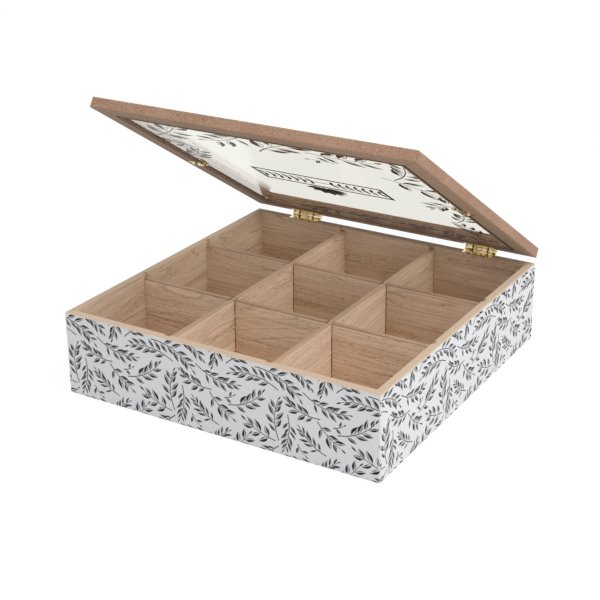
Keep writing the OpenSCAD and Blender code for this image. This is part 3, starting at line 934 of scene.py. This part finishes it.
class TEABOX_OT_stage(bpy.types.Operator):
    """Set the camera, the soft light and the pale floor"""
    bl_idname = "teabox.stage"
    bl_label = "Studio"

    # The camera's place in millimetres, its heading and pitch in degrees, and its focal length and the
    # width of its frame in pixels.
    eye, azimuth, pitch = (447.894, -746.836, 428.856), 30.047, 20.972
    focal, frame_width, sensor = 1350.21, 600, 36
    shift_x, shift_y = -0.05, -0.10

    lamp_place, lamp_aim, lamp_size = (0.95, -0.2, 1.5), (0, 0, 0.05), 0.9
    floor_reach = 6
    white = (1, 1, 1)
    shown_floor, shown_glow = 0.10, 0.92      # what the camera sees of the floor: matt and glowing share

    def execute(self, context):
        stage, scene = context.scene.teabox_stage, context.scene
        scene.view_settings.view_transform = "Standard"
        self.camera(scene)
        self.lamp(scene, stage.lamp)
        self.surround(scene, stage.sky)
        self.floor(scene, stage.floor)
        return {"FINISHED"}

    def camera(self, scene):
        """The camera of the photograph's view."""
        camera = bpy.data.cameras.new("camera")
        camera.sensor_width, camera.lens = self.sensor, self.focal * self.sensor / self.frame_width
        camera.shift_x, camera.shift_y = self.shift_x, self.shift_y
        camera.clip_start, camera.clip_end = 0.01, 100
        holder = bpy.data.objects.new("camera", camera)
        holder.location = [place * MM for place in self.eye]
        holder.rotation_euler = (math.pi / 2 - math.radians(self.pitch), 0, math.radians(self.azimuth))
        scene.collection.objects.link(holder)
        scene.camera = holder

    def lamp(self, scene, power):
        """A square soft lamp that points at its aim."""
        lamp = bpy.data.lights.new("soft_lamp", "AREA")
        lamp.shape, lamp.energy = "RECTANGLE", power
        lamp.size = lamp.size_y = self.lamp_size
        holder = bpy.data.objects.new("soft_lamp", lamp)
        holder.location = self.lamp_place
        away = np.array(self.lamp_aim) - self.lamp_place
        holder.rotation_euler = (math.acos(-away[2] / np.linalg.norm(away)), 0,
                                 math.atan2(away[1], away[0]) - math.pi / 2)
        scene.collection.objects.link(holder)

    def surround(self, scene, strength):
        """Light from all round: it lights with its strength and looks white."""
        sky = Finish("surround", surround=True)
        around = sky.node("ShaderNodeBackground", {}, {"Color": self.white, "Strength": strength})
        shown = sky.node("ShaderNodeBackground", {}, {"Color": self.white, "Strength": 1.0})
        scene.world = sky.close(sky.node("ShaderNodeMixShader", {}, {0: sky.watched(), 1: around, 2: shown}))

    def floor(self, scene, share):
        """A floor that gives back its share of the light, and looks nearly white with a faint shadow."""
        finish = Finish("pale_floor")
        matt = finish.node("ShaderNodeBsdfDiffuse", {}, {"Color": (share,) * 3})
        thin = finish.node("ShaderNodeBsdfDiffuse", {}, {"Color": (self.shown_floor,) * 3})
        glow = finish.node("ShaderNodeEmission", {}, {"Color": self.white, "Strength": self.shown_glow})
        shown = finish.node("ShaderNodeAddShader", {}, {0: thin, 1: glow})
        pale = finish.close(finish.node("ShaderNodeMixShader", {}, {0: finish.watched(), 1: matt, 2: shown}))
        mesh = bpy.data.meshes.new("floor")
        reach = self.floor_reach
        mesh.from_pydata([(-reach, -reach, 0), (reach, -reach, 0), (reach, reach, 0), (-reach, reach, 0)],
                         [], [(0, 1, 2, 3)])
        mesh.materials.append(pale)
        floor = bpy.data.objects.new("floor", mesh)
        scene.collection.objects.link(floor)


class TEABOX_PT_panel(bpy.types.Panel):
    """Lists the box's pieces and their settings"""
    bl_label = "Tea bag organizer box"
    bl_space_type = "VIEW_3D"
    bl_region_type = "UI"
    bl_category = "Tea box"

    def draw(self, context):
        for operator, attribute in STEPS:
            part = self.layout.box()
            part.operator(operator.bl_idname)
            settings = getattr(context.scene, attribute)
            for key in settings.bl_rna.properties.keys():
                if key not in ("rna_type", "name"):
                    part.prop(settings, key)


SETTINGS = {"teabox_boards": BoardSettings, "teabox_print": PrintSettings, "teabox_lid": LidSettings,
            "teabox_glass": GlassSettings, "teabox_brass": BrassSettings, "teabox_stage": StageSettings}
STEPS = ((TEABOX_OT_stage, "teabox_stage"), (TEABOX_OT_boards, "teabox_boards"),
         (TEABOX_OT_paper, "teabox_print"), (TEABOX_OT_lid, "teabox_lid"),
         (TEABOX_OT_glass, "teabox_glass"), (TEABOX_OT_brass, "teabox_brass"))
CLASSES = (*SETTINGS.values(), *(step[0] for step in STEPS), TEABOX_PT_panel)


def register():
    for cls in CLASSES:
        bpy.utils.register_class(cls)
    for attribute, group in SETTINGS.items():
        setattr(bpy.types.Scene, attribute, bpy.props.PointerProperty(type=group))


def unregister():
    for attribute in SETTINGS:
        delattr(bpy.types.Scene, attribute)
    for cls in reversed(CLASSES):
        bpy.utils.unregister_class(cls)


def main():
    """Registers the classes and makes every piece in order."""
    def corners(bounds):
        return [list(map(float, corner)) for corner in bounds]

    register()
    bpy.ops.teabox.stage()
    bpy.ops.teabox.boards()
    bpy.ops.teabox.paper()
    bpy.ops.teabox.lid()
    bpy.ops.teabox.glass()
    bpy.ops.teabox.brass()


if __name__ == "__main__":
    main()
